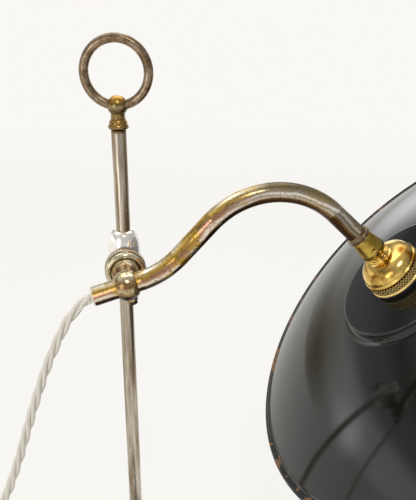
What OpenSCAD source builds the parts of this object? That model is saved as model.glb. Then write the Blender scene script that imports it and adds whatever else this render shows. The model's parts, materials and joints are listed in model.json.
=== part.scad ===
// Adjustable desk lamp: a weighted round foot, a plain stem with a ring handle, a sliding swivel that
// holds a swan-neck arm in a bored ball, and an enamelled shade clamped to a screw lampholder.
// The origin is the centre of the foot's underside, +Z is up and the arm reaches towards +X.

/* [Overall] */
// Height of the ring handle's top above the table
lamp_height = 480; // [450:1:540]
// Height of the arm's swivel axis above the table
slider_height = 325.5; // [300:0.5:345]

/* [Foot] */
// Diameter of the foot
foot_d = 180; // [150:1:220]
// Height of the foot's plain edge
foot_edge_h = 9; // [7:0.5:14]
// Radius of the rounding on the foot's edge
foot_edge_r = 4; // [2:0.5:5]
// Width of the flat ring inside the edge
foot_step_w = 8; // [4:0.5:14]
// Height of the small quarter-round step
foot_step_h = 3; // [2:0.5:5]
// Rise of the foot from the step to its centre
foot_rise = 18; // [12:1:30]
// Thickness of the spun cover
cover_t = 1.2; // [0.8:0.1:2]
// Thickness of the felt
felt_t = 2; // [1.5:0.5:3]
// Depth of the nut's recess under the weight
recess_h = 11; // [10:0.5:14]
// Height of the turned socket that holds the stem
socket_h = 26; // [20:1:36]
// Diameter of the socket's foot
socket_d = 28; // [24:1:36]

/* [Stem, finial and handle] */
// Diameter of the stem
stem_d = 10; // [9:0.5:12]
// Diameter of the stem's threaded tail
tail_d = 8; // [6:0.5:8]
// Height from the stem's top to the centre of the finial's ball
finial_h = 17.3; // [16:0.1:24]
// Diameter of the finial's ball
finial_ball_d = 13.6; // [12:0.1:15]
// Diameter of the finial's collar
finial_collar_d = 13.7; // [12:0.1:16]
// Diameter of the finial's neck
finial_neck_d = 9.4; // [7:0.1:10]
// Diameter of the ring handle at the middle of its wire
handle_d = 42.6; // [36:0.1:52]
// Thickness of the handle's wire
handle_wire_d = 6.2; // [5:0.1:7]
// Turn of the handle about the stem, in degrees
handle_turn = -14.3; // [-90:0.1:90]

/* [Slider and swivel] */
// Diameter of the slider's barrel
barrel_d = 22.6; // [21:0.1:23]
// Height of the slider between its bush's lip and clip
barrel_h = 41; // [38:0.5:50]
// Height of the rounding at each end of the slider
barrel_round_h = 15; // [10:0.5:17]
// Outer diameter of the split friction bush
bush_d = 13; // [12.8:0.1:14]
// Diameter of the boss that the swivel nut screws on
boss_d = 24; // [23:0.1:24.6]
// Distance from the stem's axis to the boss's front face
boss_out = 16.6; // [16.5:0.1:18]
// Diameter over the nut's knurl
nut_d = 28.3; // [27.5:0.1:31]
// Length of the swivel nut
nut_l = 11.6; // [11:0.1:13]
// Diameter of the flat front edge of the nut
nut_front_d = 22.4; // [22:0.1:24]
// Number of ridges on the nut
nut_ridges = 64; // [40:2:80]
// Diameter of the swivel's neck in the nut
neck_d = 19.6; // [17:0.1:19.8]
// Thickness of the friction washer
washer_t = 1.2; // [0.8:0.1:2]
// Thickness of the spindle's flange
flange_t = 2.2; // [1.5:0.1:3]
// Thickness of the spring washer
spring_t = 1; // [0.6:0.1:1.5]
// Distance from the stem's axis to the arm's axis
arm_out = 45; // [42:0.5:52]
// Diameter of the ball that holds the arm
holder_d = 20.2; // [19:0.1:24]
// Width of the ball between its two flats
holder_w = 13; // [10:0.5:15]
// Diameter of the thumbscrew's head
thumb_d = 18; // [14:0.5:22]
// Diameter of the thumbscrew's thread
thumb_thread_d = 5; // [4:0.5:5]
// Diameter of the arm lock screw's head
lock_d = 5.8; // [5:0.1:7]

/* [Arm] */
// Outer diameter of the arm's tube
arm_d = 13.2; // [12:0.1:13.6]
// Wall of the arm's tube
arm_wall = 1.2; // [1:0.1:1.5]
// Angle at which the arm's lower end rises through the ball, in degrees
arm_lean = 16.5; // [5:0.5:25]
// Steepest angle of the arm's rise, in degrees
arm_climb = 47; // [35:0.1:60]
// Angle at which the arm's far end falls, in degrees
arm_fall = 43.6; // [30:0.1:55]
// Length of the arm behind the ball's centre
arm_tail_l = 22.5; // [15:0.5:30]
// Straight length of the arm in front of the ball's centre
arm_root_l = 9.5; // [8:0.5:20]
// Radius of the arm's upward bend
bend_up_r = 57; // [45:0.5:70]
// Straight length between the two bends
arm_mid_l = 30.4; // [15:0.1:40]
// Radius of the arm's downward bend
bend_down_r = 57.5; // [45:0.5:70]
// Straight length of tube after the last bend
arm_end_l = 24; // [22:0.5:40]

/* [Lampholder] */
// Diameter of the threaded nipple
nipple_d = 10; // [9:0.5:10]
// Diameter of the end collar
collar_d = 16.5; // [16:0.1:19]
// Diameter of the tapered cord grip at the cap
grip_d = 18.4; // [17:0.1:19]
// Diameter of the cord grip at the arm
grip_top_d = 15.2; // [14.5:0.1:17]
// Length of the cord grip
grip_l = 16.4; // [12:0.1:20]
// Diameter of the cap over its bead
cap_d = 41.4; // [40.6:0.1:46]
// Height of the cap
cap_h = 17.3; // [16:0.1:22]
// Outer diameter of the threaded sleeve
sleeve_d = 38.3; // [37.5:0.1:39]
// Length of the threaded sleeve
sleeve_l = 38; // [34:0.5:44]
// Height of the upper shade ring
upper_ring_h = 7.3; // [5:0.1:9]
// Height of the gasket between ring and shade
gasket_h = 2.2; // [1.5:0.1:5]
// Height of the lower shade ring
lower_ring_h = 6; // [4:0.1:8]
// Diameter of the lower shade ring
lower_ring_d = 46; // [43:0.5:50]
// Number of ridges on each shade ring
ring_ridges = 80; // [40:2:90]

/* [Shade] */
// Diameter of the shade's rim at the middle of its bead
shade_d = 322; // [260:1:340]
// Depth of the shade from the foot of its step to the rim
shade_depth = 32; // [30:1:60]
// How far the shade's side curves from step to rim, in degrees
shade_curve = 22; // [10:1:30]
// Diameter of the shade's raised flat top
shade_top_d = 98.4; // [80:0.1:120]
// Height of the raised top
shade_step_h = 7.4; // [5:0.1:12]
// Thickness of the shade's sheet
shade_t = 1; // [0.8:0.1:1.5]
// Diameter of the shade's rolled rim
shade_bead_d = 4; // [3:0.1:6]

/* [Bulb] */
// Diameter of the bulb's globe
bulb_d = 45; // [40:1:60]
// Length of the bulb with its cap
bulb_l = 75; // [70:1:100]

/* [Cord, switch and plug] */
// Diameter over the twisted flex
cord_d = 6.8; // [6:0.1:7]
// Diameter of the cord's coil at the middle of its turns
coil_d = 78; // [74:1:82]
// Turns side by side in the coil
coil_turns = 3; // [2:1:3]
// Layers in the coil
coil_layers = 2; // [1:1:2]
// Length of the inline switch
switch_l = 62; // [56:1:70]
// Width of the inline switch
switch_w = 28; // [25:1:32]
// Height of the inline switch
switch_h = 17; // [16:0.5:20]
// Tilt of the rocker, in degrees
rocker_tilt = 8; // [4:1:10]
// Width of the plug
plug_w = 50; // [48:1:54]
// Length of the plug
plug_l = 48; // [46:1:52]
// Height of the plug's body
plug_h = 22; // [20:0.5:26]

/* [Hidden] */
$fn = 64;
// Radial gap of a running fit, gap between seated pieces and overlap of a cut
run = 0.03;
seat = 0.05;
cut = 1;
// How far a straight of the arm runs into its bend, and how much thicker the bend is
lap = 0.2;
swell = 0.02;

// Foot
foot_r = foot_d / 2;
lip_z = felt_t / 2;
step_r = foot_r - foot_edge_r - foot_step_w;
foot_top = foot_edge_h + foot_step_h + foot_rise;
socket_r = socket_d / 2;
rise_r = socket_r + 6;
socket_floor = 4;
recess_z = felt_t + recess_h;
recess_r = 14;
washer_h = 1.6;
nut_h = 6.5;
nut_af = 13;
stem_r = stem_d / 2;
tail_r = tail_d / 2;
stem_foot = foot_top + seat + socket_floor;

// Stem's top, finial and handle
handle_r = handle_d / 2;
wire_r = handle_wire_d / 2;
handle_z = lamp_height - handle_r - wire_r;
ball_z = handle_z - handle_r;
stem_top = ball_z - finial_h;
spigot_r = 2.5;
spigot_l = 11;

// Slider: distances called "out" run from the stem's axis towards the front, which is -Y
barrel_r = barrel_d / 2;
bush_r = bush_d / 2;
land_r = bush_r + 1.7;
bush_lip = 2.4;
bush_lip_r = stem_r + 0.7;
clip_t = 1.2;
bush_bore_r = stem_r + run;
slot_w = 1.5;
boss_r = boss_d / 2;
rear_boss_r = 6.2;
rear_boss_out = 15.5;
shoe_r = 3;
shoe_t = 2;
shoe_out = bush_r + 0.1;
thumb_r = thumb_d / 2;
thumb_thread_r = thumb_thread_d / 2;
thumb_neck_out = rear_boss_out + 0.1;

// Swivel
nut_r = nut_d / 2;
washer_out = boss_out + seat;
flange_out = washer_out + washer_t + seat;
spring_out = flange_out + flange_t + seat;
lip_out = spring_out + spring_t + seat;
nut_front = lip_out + 3.5;
nut_rear = nut_front - nut_l;
knurl_l = nut_l - 4.8;
groove_w = 0.9;
neck_gap = 0.9;
neck_gap_h = 2;
flange_r = boss_r - 0.4;
neck_r = neck_d / 2;
spindle_r = 4.5;
spindle_rear = bush_r + 1.2;
holder_r = holder_d / 2;
throat_r = 5.8;
throat_out = arm_out - sqrt(holder_r * holder_r - throat_r * throat_r) + 0.4;
lock_boss = holder_r + 0.9;
lock_r = lock_d / 2;
lock_thread_r = 2;
lock_head_h = 2.7;

// Arm: its centreline in its own plane, from the ball's centre, x forwards and y up
arm_r = arm_d / 2;
arm_bore_r = arm_r - arm_wall;
function ray2(p, a, l) = [p[0] + l * cos(a), p[1] + l * sin(a)];
function turn_left(p, a, r, b) = [p[0] + r * (sin(b) - sin(a)), p[1] + r * (cos(a) - cos(b))];
function turn_right(p, a, r, b) = [p[0] + r * (sin(a) - sin(b)), p[1] + r * (cos(b) - cos(a))];
arm_p1 = ray2([0, 0], arm_lean, arm_root_l);
arm_p2 = turn_left(arm_p1, arm_lean, bend_up_r, arm_climb);
arm_p3 = ray2(arm_p2, arm_climb, arm_mid_l);
arm_p4 = turn_right(arm_p3, arm_climb, bend_down_r, -arm_fall);
lip_t = 1.2;
lead_r = 3.1;
lead_back = 1;
grommet_bore_r = cord_d / 2 + 0.1;

// Lampholder: heights called "_z" run along the arm's falling end, from the end of its last bend
collar_seat = 3;
collar_floor = 2.1;
collar_r = collar_d / 2;
collar_end = arm_end_l + seat + collar_floor;
grip_r = grip_d / 2;
grip_top_r = grip_top_d / 2;
grip_z = collar_end + seat;
cap_r = cap_d / 2;
cap_z = grip_z + grip_l + seat;
cap_end = cap_z + cap_h;
cap_neck_r = 6.6;
nipple_r = nipple_d / 2 - 0.02;
nipple_bore_r = lead_r + 0.35;
nipple_hole_r = nipple_d / 2 + 0.02;
nipple_z = arm_end_l - 9;
nipple_l = cap_z + 4 - nipple_z;
sleeve_r = sleeve_d / 2;
sleeve_wall = 1.2;
sleeve_z = cap_end - 2.2;
upper_z = cap_end + seat;
gasket_z = upper_z + upper_ring_h + seat;
shade_z = gasket_z + gasket_h + seat;
lower_z = shade_z + shade_t + seat;
insert_z = sleeve_z + 0.4;
insert_h = 13.5;
insert_r = sleeve_r - sleeve_wall - seat;
shell_r = 14;
shell_t = 0.5;
shell_l = 22;
shell_z = insert_z + insert_h + seat;
bulb_cap_r = shell_r - shell_t - 0.2;
bulb_cap_l = 24;
bulb_z = shell_z + 3;
bulb_r = bulb_d / 2;
globe_z = bulb_z + bulb_l - bulb_r;

// Shade's profile: x is the radius and y the height along the lampholder's axis
rim_r = shade_d / 2;
bead_r = shade_bead_d / 2;
shade_hole_r = sleeve_r + 0.2;
top_r = shade_top_d / 2;
top_edge_r = 1.8;
step_foot_r = top_r + 1.5;
side_z = shade_z + shade_step_h;
side_run = rim_r - step_foot_r;
side_chord = sqrt(side_run * side_run + shade_depth * shade_depth);
side_slope = atan(shade_depth / side_run);
side_a0 = side_slope - shade_curve / 2;
side_a1 = side_slope + shade_curve / 2;
side_r = side_chord / (2 * sin(shade_curve / 2));
side_cx = step_foot_r - side_r * sin(side_a0);
side_cy = side_z + side_r * cos(side_a0);

// Cord: the tube's route, chosen point by point, then the switch, the coil and the plug
cord_r = cord_d / 2;
exit_l = arm_tail_l + lip_t + seat;
cord_exit = [-exit_l * cos(arm_lean), -arm_out, slider_height - exit_l * sin(arm_lean)];
switch_in = [-181, -115, 7];
drop_route = [
    [-28.8, -45, 315], [-34.4, -45, 309.3], [-39.9, -45, 302], [-44.6, -45, 293.6], [-48.8, -45, 285],
    [-53.2, -45, 275.5], [-57.6, -45, 265], [-62, -45, 253], [-67, -45, 239], [-72, -45, 224], [-77, -45, 209],
    [-82, -45, 194], [-88, -45, 178], [-95, -45, 161], [-102, -45, 144], [-110, -45, 125],
    [-118, -45, 106], [-126, -45, 87], [-134, -45, 68], [-142, -45, 50], [-151, -45, 33],
    [-162, -45, 18], [-175, -45.5, 8], [-190, -47, 4], [-205, -52, 3.4], [-217, -62, 3.4],
    [-223, -76, 3.4], [-222, -91, 3.4], [-213, -104, 4], [-198, -112.5, 5.5],
    [-185, -115, 7]
];
switch_x = switch_in[0] + switch_l / 2;
switch_y = switch_in[1];
switch_split = switch_in[2];
shell_wall = 1.8;
corner_r = 10;
rocker_w = 12;
rocker_l = 20;
rocker_z = switch_h - 5;
rocker_r = 1.4;
rocker_pin = switch_w / 2 - 0.8;
switch_out = [switch_in[0] + switch_l, switch_y, switch_split];
coil_r = coil_d / 2;
coil_out_r = coil_r + cord_d * coil_turns / 2;
coil_in_r = coil_r - cord_d * coil_turns / 2;
coil_h = cord_d * coil_layers;
coil_x = -75;
coil_y = switch_y - coil_out_r + cord_r;
coil_join = sqrt(pow(coil_out_r + cord_r + seat, 2) - pow(coil_out_r - cord_r, 2));
tail_start = switch_out + [0.6, 0, -0.1];
tail_route = [[-112, -115, 5.8], [-106, -115, 4.2]];
tail_end = [coil_x - coil_join, switch_y, cord_r];
lead_start = [coil_x + coil_join, switch_y, coil_h - cord_r];
lead_route = [[-40, -115.3, 10.1], [-31, -116.5, 9.6], [-23, -118, 9.2]];
plug_in = [-14, -119, 9];
lead_end = plug_in - [0.5, 0, 0];
plug_x = plug_in[0] + plug_l / 2;
plug_y = plug_in[1];
plug_wall = 2.2;
plug_split = plug_h - 7;
pin_h = [22.7, 17.7, 17.7];
pin_w = [4, 6.4, 6.4];
pin_l = [8, 4, 4];
pin_at = [[14, 0], [-8.2, 11.1], [-8.2, -11.1]];
fuse_r = 3.15;
fuse_l = 25.4;

// Points along an arc
function arc(c, r, a0, a1, n = 8) =
    [for (i = [0:n]) [c[0] + r * cos(a0 + (a1 - a0) * i / n), c[1] + r * sin(a0 + (a1 - a0) * i / n)]];
// Points along a quarter of an ellipse that starts square to the axis and ends along it
function dome(r0, r1, z0, z1, n = 10) =
    [for (i = [0:n]) [r0 + (r1 - r0) * sin(90 * i / n), z0 + (z1 - z0) * (1 - cos(90 * i / n))]];
function shift(pts, d) = [for (p = pts) p + d];
function flip(pts) = [for (i = [len(pts) - 1:-1:0]) pts[i]];
// A rounded rectangle about the origin
function rounded(l, w, r) = concat(
    arc([l / 2 - r, w / 2 - r], r, 0, 90), arc([r - l / 2, w / 2 - r], r, 90, 180),
    arc([r - l / 2, r - w / 2], r, 180, 270), arc([l / 2 - r, r - w / 2], r, 270, 360));
// A ring of n ridges
function ridges(r, n, depth) =
    [for (i = [0:2 * n - 1]) let (q = r - depth * (i % 2)) [q * cos(180 * i / n), q * sin(180 * i / n)]];

module turned(pts) rotate_extrude() polygon(pts);
module knurled(r, n, h, depth = 0.45) linear_extrude(h) polygon(ridges(r, n, depth));
module rod(r, z0, z1) translate([0, 0, z0]) cylinder(r = r, h = z1 - z0);
module pipe(r, bore, z0, z1) difference() {
    rod(r, z0, z1);
    rod(bore, z0 - cut, z1 + cut);
}
module torus(r, wire) rotate_extrude() translate([r, 0]) circle(wire);

// Frames of the moving parts
module at_slider() translate([0, 0, slider_height]) children();
// +Z points to the front, away from the stem
module forward() at_slider() rotate([90, 0, 0]) children();
// The arm's own plane: +X forwards, +Y up, +Z to the front
module at_ball() translate([0, -arm_out, slider_height]) rotate([90, 0, 0]) children();
// +Z runs down the arm's falling end
module at_end() at_ball() translate([arm_p4[0], arm_p4[1], 0]) rotate([0, 90, -arm_fall]) children();

// A round cord through a list of points
function unit(v) = v / norm(v);
function tangent(p, i) = unit(p[min(i + 1, len(p) - 1)] - p[max(i - 1, 0)]);
module cord_tube(p, r, sides = 10) {
    n = len(p);
    rings = [for (i = [0:n - 1])
        let (t = tangent(p, i), u = unit(cross(t, [0, 0, 1])), v = cross(u, t))
        for (k = [0:sides - 1]) p[i] + r * (cos(360 * k / sides) * u + sin(360 * k / sides) * v)];
    walls = [for (i = [0:n - 2]) for (k = [0:sides - 1])
        let (a = i * sides + k, b = i * sides + (k + 1) % sides)
        each [[a, b, b + sides], [a, b + sides, a + sides]]];
    ends = [[for (k = [sides - 1:-1:0]) k], [for (k = [0:sides - 1]) (n - 1) * sides + k]];
    polyhedron(points = rings, faces = concat(walls, ends));
}

// ---- Foot and stem ----

// The cover's outer profile from its lower lip to the flat at its centre
function foot_profile() = concat(
    arc([foot_r - foot_edge_r, foot_edge_h - foot_edge_r], foot_edge_r, 0, 90),
    arc([step_r, foot_edge_h], foot_step_h, 0, 90, 5),
    [for (i = [1:12]) let (t = i / 12) [
        step_r + (rise_r - step_r) * t,
        foot_edge_h + foot_step_h + foot_rise * (1 - cos(180 * t)) / 2
    ]]);

module felt_pad() color("#3b4a3c") cylinder(r = foot_r - cover_t - 1, h = felt_t, $fn = 96);

module base_weight() {
    inner = shift(foot_profile(), [-cover_t - seat, -cover_t - seat]);
    color("#4a4744") difference() {
        turned(concat([[0, felt_t], [foot_r - cover_t - seat, felt_t]], inner,
            [[0, foot_top - cover_t - seat]]));
        rod(recess_r, felt_t - cut, recess_z);
        rod(tail_r + seat, 0, foot_top);
    }
}

module base_cover() {
    outer = foot_profile();
    inner = shift(outer, [-cover_t, -cover_t]);
    color("#6f6459") turned(concat(
        [[foot_r, lip_z]], outer, [[tail_r + seat, foot_top], [tail_r + seat, foot_top - cover_t]],
        flip(inner), [[foot_r - cover_t, lip_z]]));
}

module stem_socket() color("#6f6459") translate([0, 0, foot_top + seat]) difference() {
    turned(concat(
        [[0, 0], [socket_r, 0]],
        arc([socket_r - 1.2, 2], 1.2, -20, 90, 5),
        arc([socket_r - 1.2, 8.2], 5, -90, -170, 6),
        [[stem_r + 3, socket_h - 8]],
        arc([stem_r + 3, socket_h - 6], 2, -90, 90, 6),
        [[stem_r + 2.4, socket_h], [0, socket_h]]));
    rod(stem_r + seat, socket_floor, socket_h + cut);
    rod(tail_r + seat, -cut, socket_floor + cut);
}

module stem_washer() color("#8d8a83") pipe(recess_r - 2.5, tail_r + seat, recess_z - washer_h - seat, recess_z - seat);

module stem_nut() {
    top = recess_z - washer_h - 2 * seat;
    color("#8d8a83") difference() {
        translate([0, 0, top - nut_h]) cylinder(d = nut_af / cos(30), h = nut_h, $fn = 6);
        rod(tail_r + run, 0, foot_top);
    }
}

module stem() color("#8f8a80") difference() {
    turned([
        [0, recess_z - washer_h - nut_h - 0.4], [tail_r, recess_z - washer_h - nut_h - 0.4],
        [tail_r, stem_foot], [stem_r, stem_foot], [stem_r, stem_top], [0, stem_top]
    ]);
    rod(spigot_r, stem_top - spigot_l - 1, stem_top + cut);
}

module finial() {
    collar_r = finial_collar_d / 2;
    throat_r = finial_neck_d / 2;
    ball_r = finial_ball_d / 2;
    color("#7d6c55") difference() {
        union() {
            translate([0, 0, stem_top]) turned(concat(
                [[0, -spigot_l], [spigot_r - run, -spigot_l], [spigot_r - run, seat]],
                [[stem_r, seat], [stem_r + 0.2, 0.9], [stem_r - 0.4, 1.3]],
                arc([collar_r - 1.6, 3.6], 1.6, -50, 60, 5),
                arc([throat_r + 4.4, 9.9], 4.4, 225, 180, 5),
                [[throat_r, finial_h - 0.7 * ball_r], [0, finial_h - 0.7 * ball_r]]));
            translate([0, 0, ball_z]) sphere(ball_r);
        }
        handle_place() torus(handle_r, wire_r + run);
    }
}

module handle_place() translate([0, 0, handle_z]) rotate([90, 0, handle_turn]) children();

module ring_handle() color("#6b5a45") handle_place() torus(handle_r, wire_r);

// ---- Slider ----

// The slider's rounded top from the stem outwards; the bush's lip is its inner part, the block its outer
slider_top = dome(bush_lip_r, barrel_r, 0, barrel_round_h, 20);
slider_top_z = barrel_h / 2 + seat + bush_lip;
function top_profile(inner) = [for (p = slider_top) if ((p[0] < land_r) == inner) [p[0], slider_top_z - p[1]]];

module slider_bush() {
    lip = top_profile(true);
    bottom = barrel_h / 2 + clip_t + 2 * seat;
    color("#c9b98e") at_slider() difference() {
        union() {
            rod(bush_r, -bottom - 1.2, barrel_h / 2 + bush_lip / 2);
            turned(concat([[0, barrel_h / 2 + seat], [land_r, barrel_h / 2 + seat]],
                [[land_r, lip[len(lip) - 1][1]]], flip(lip), [[0, slider_top_z]]));
        }
        rod(bush_bore_r, -barrel_h, barrel_h);
        pipe(bush_r + cut, bush_r - 0.6, -bottom, -barrel_h / 2);
        translate([-slot_w / 2, 0, -barrel_h]) cube([slot_w, barrel_h, 2 * barrel_h]);
    }
}

module bush_clip() color("#c9c7c2") at_slider() translate([0, 0, -barrel_h / 2 - seat - clip_t]) difference() {
    pipe(land_r, bush_r - 0.55, 0, clip_t);
    translate([-bush_r * 0.7, 0, -cut]) cube([bush_r * 1.4, barrel_h, barrel_h]);
}

module slider_block() {
    top = top_profile(false);
    bottom = [for (p = dome(land_r, barrel_r, 0, barrel_round_h)) [p[0], p[1] - barrel_h / 2]];
    color("#d9d7d2") difference() {
        union() {
            at_slider() turned(concat([[0, -barrel_h / 2]], bottom, flip(top), [[0, top[0][1]]]));
            forward() rod(boss_r, 0, boss_out);
            forward() rod(rear_boss_r, -rear_boss_out, 0);
        }
        at_slider() rod(bush_r + run, -barrel_h, barrel_h);
        at_slider() rod(land_r + seat, barrel_h / 2, barrel_h);
        forward() rod(spindle_r + run, 0, boss_out + cut);
        forward() rod(thumb_thread_r + run, -rear_boss_out - cut, 0);
        forward() rod(shoe_r + seat, -shoe_out - shoe_t - seat, 0);
    }
}

module brake_shoe() color("#b39a56") forward() rod(shoe_r, -shoe_out - shoe_t, -shoe_out);

module thumbscrew() color("#9a9183") forward() {
    rod(thumb_thread_r, -thumb_neck_out, -shoe_out - shoe_t - seat);
    rod(rear_boss_r - 0.6, -thumb_neck_out - 1.5, -thumb_neck_out);
    translate([0, 0, -thumb_neck_out - 6.5]) knurled(thumb_r, 36, 5, 0.7);
    translate([0, 0, -thumb_neck_out - 6.5]) mirror([0, 0, 1])
        turned(concat([[0, 0]], arc([thumb_r - 3, 0], 1.6, 0, 90, 5), [[0, 1.6]]));
}

module friction_washer() color("#7a3f2a") forward() pipe(flange_r, spindle_r + 0.1, washer_out, washer_out + washer_t);

module swivel_spindle() color("#9b7f52") difference() {
    union() {
        forward() turned(concat(
            [[0, spindle_rear], [spindle_r, spindle_rear], [spindle_r, flange_out]],
            [[flange_r, flange_out], [flange_r, flange_out + flange_t]],
            [[neck_r, flange_out + flange_t], [neck_r, nut_front + 0.4]],
            arc([neck_r - 1.5, nut_front + 0.4], 1.5, 0, 50, 3),
            [for (i = [1:8]) let (t = i / 8, s = (1 - cos(180 * t)) / 2) [
                neck_r - 0.55 + (throat_r - neck_r + 0.55) * s,
                nut_front + 1.6 + (throat_out - nut_front - 1.6) * t
            ]],
            [[throat_r, arm_out], [0, arm_out]]));
        at_ball() rotate([0, 0, arm_lean]) intersection() {
            sphere(holder_r);
            cube([holder_w, holder_d, holder_d], center = true);
        }
        lock_place() rod(lock_r + 1.1, arm_r, lock_boss);
    }
    at_ball() rotate([0, 90, arm_lean]) rod(arm_r + run, -holder_d, holder_d);
    lock_place() rod(lock_thread_r + run, arm_r - cut, lock_boss + cut);
}

// +Z leaves the ball square to the arm, downwards
module lock_place() at_ball() rotate([0, 90, arm_lean - 90]) children();

module arm_lock_screw() color("#4b4238") lock_place() difference() {
    union() {
        rod(lock_thread_r, arm_r + seat, lock_boss + seat);
        rod(lock_r, lock_boss + seat, lock_boss + lock_head_h);
    }
    translate([-0.4, -lock_d, lock_boss + lock_head_h - 0.9]) cube([0.8, 2 * lock_d, 2]);
}

module spring_washer() color("#b8b5ae") forward() pipe(flange_r, neck_r + 0.1, spring_out, spring_out + spring_t);

module swivel_nut() color("#9b8a68") forward() difference() {
    union() {
        translate([0, 0, nut_rear]) knurled(nut_r, nut_ridges, knurl_l);
        rod(nut_r - 0.7, nut_rear + knurl_l - cut, nut_rear + knurl_l + groove_w);
        translate([0, 0, nut_rear + knurl_l + groove_w]) turned(concat(
            [[0, 0], [nut_r - 0.3, 0], [nut_r - 0.1, 0.5]],
            arc([nut_front_d / 2, 0.5], nut_r - 0.3 - nut_front_d / 2, 0, 90, 6),
            [[0, nut_front - nut_rear - knurl_l - groove_w]]));
    }
    rod(boss_r + run, nut_rear - cut, lip_out);
    rod(neck_r + 0.1, lip_out - cut, nut_front + cut);
    rod(neck_r + neck_gap, nut_front - neck_gap_h, nut_front + cut);
}

// ---- Arm ----

// A bend about the frame's origin, a hair thicker than the straights that end inside it
module bend(r, big, a) rotate_extrude(angle = a) translate([big, 0]) circle(r + swell);

// The swan-neck's run as a solid round bar, with extra length at its tail and at its far end
module arm_run(r, tail = 0, far = 0) rotate([0, 0, arm_lean]) {
    rotate([0, 90, 0]) rod(r, -arm_tail_l - tail, arm_root_l + lap);
    translate([arm_root_l, bend_up_r]) {
        rotate([0, 0, -90]) bend(r, bend_up_r, arm_climb - arm_lean);
        rotate([0, 0, arm_climb - arm_lean]) translate([0, -bend_up_r]) {
            rotate([0, 90, 0]) rod(r, -lap, arm_mid_l + lap);
            translate([arm_mid_l, -bend_down_r]) {
                rotate([0, 0, 90 - arm_climb - arm_fall]) bend(r, bend_down_r, arm_climb + arm_fall);
                rotate([0, 0, -arm_climb - arm_fall]) translate([0, bend_down_r])
                    rotate([0, 90, 0]) rod(r, -lap, arm_end_l + far);
            }
        }
    }
}

module arm_tube() color("#9c8562") at_ball() difference() {
    arm_run(arm_r);
    arm_run(arm_bore_r, cut, cut);
}

module arm_grommet() color("#e8e2d2") at_ball() rotate([0, 90, arm_lean]) difference() {
    union() {
        rod(arm_r - 0.2, -arm_tail_l - lip_t, -arm_tail_l - seat);
        rod(arm_bore_r - seat, -arm_tail_l - seat - cut, 6 - arm_tail_l);
    }
    rod(grommet_bore_r, -arm_tail_l - 2 * lip_t, 7 - arm_tail_l);
}

module arm_lead() color("#d8cfbb") at_ball() arm_run(lead_r, lip_t - lead_back, insert_z - seat - arm_end_l);

module end_collar() color("#5f5242") at_end() difference() {
    turned(concat(
        [[0, arm_end_l - collar_seat], [arm_r + 0.4, arm_end_l - collar_seat]],
        [[collar_r - 0.8, arm_end_l - 0.6]],
        arc([collar_r - 0.6, arm_end_l], 0.6, -60, 60, 4),
        [[collar_r - 0.9, arm_end_l + 0.75]],
        arc([collar_r - 0.65, arm_end_l + 1.45], 0.6, -60, 60, 4),
        [[collar_r - 1.1, collar_end], [0, collar_end]]));
    rod(arm_r + seat, 0, arm_end_l + seat);
    rod(nipple_hole_r, arm_end_l - cut, collar_end + cut);
}

module nipple() color("#b39a56") at_end() pipe(nipple_r, nipple_bore_r, nipple_z, nipple_z + nipple_l);

module cord_grip() color("#b8933f") at_end() difference() {
    end = grip_z + grip_l;
    turned([
        [0, grip_z], [grip_top_r - 0.4, grip_z], [grip_top_r, grip_z + 0.5], [grip_r, end - 2.4],
        [grip_r - 0.4, end - 2.1], [grip_r - 0.1, end - 1.7], [grip_r - 0.9, end], [0, end]
    ]);
    rod(nipple_hole_r, grip_z - cut, end + cut);
    grip_screw_place() rod(1.53, 0, grip_d);
}

module grip_screw_place() translate([0, 0, grip_z + grip_l - 5]) rotate([0, -90, 0]) children();

module grip_screw() color("#b8933f") at_end() grip_screw_place() difference() {
    union() {
        rod(1.5, nipple_r + seat, grip_r + seat);
        rod(2.4, grip_r + seat, grip_r + 1.5);
    }
    translate([-0.3, -grip_d, grip_r + 0.9]) cube([0.6, 2 * grip_d, 2]);
}

module lampholder_cap() {
    waist = 4.9;
    brim = cap_h - 2.7;
    color("#c9a24a") at_end() translate([0, 0, cap_z]) turned(concat(
        [[nipple_hole_r, 0], [cap_neck_r, 0], [cap_neck_r, 2.4]],
        arc([cap_neck_r + 0.5, 3.3], 0.9, -60, 60, 5),
        dome(cap_neck_r + 2, cap_r - 0.9, waist, brim),
        arc([cap_r - 0.9, brim + 1], 0.9, -70, 70, 6),
        [[cap_r - 0.6, cap_h], [sleeve_r + seat, cap_h]],
        flip(dome(cap_neck_r + 1, sleeve_r + seat, waist + 1.1, brim + 0.6)),
        [[nipple_hole_r, waist + 1.1]]));
}

module lampholder_sleeve() color("#b8933f") at_end() pipe(sleeve_r, sleeve_r - sleeve_wall, sleeve_z, sleeve_z + sleeve_l);

module upper_shade_ring() color("#c9a24a") at_end() difference() {
    union() {
        translate([0, 0, upper_z]) knurled(cap_r, ring_ridges, upper_ring_h - 2.3);
        translate([0, 0, upper_z + upper_ring_h - 2.3]) turned(concat(
            [[0, -0.2], [cap_r - 0.4, -0.2]], arc([cap_r - 0.55, 1.1], 1.1, -80, 80, 6), [[cap_r - 0.7, 2.3], [0, 2.3]]));
    }
    rod(sleeve_r + seat, upper_z - cut, gasket_z);
}

module shade_gasket() color("#1d1c1b") at_end() pipe(cap_r - 0.4, sleeve_r + seat, gasket_z, gasket_z + gasket_h);

module lower_shade_ring() color("#b8933f") at_end() difference() {
    union() {
        rod(lower_ring_d / 2, lower_z, lower_z + 1.6);
        translate([0, 0, lower_z + 1.6]) knurled(lower_ring_d / 2 - 0.6, ring_ridges, lower_ring_h - 1.6);
    }
    rod(sleeve_r + seat, lower_z - cut, lower_z + lower_ring_h + cut);
}

// Points of the shade's curved side at a distance inside its outer face
function shade_side(inset) = [for (i = [0:14])
    let (a = side_a0 + (side_a1 - side_a0) * i / 14, r = side_r - inset)
    [side_cx + r * sin(a), side_cy - r * cos(a)]];

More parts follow.
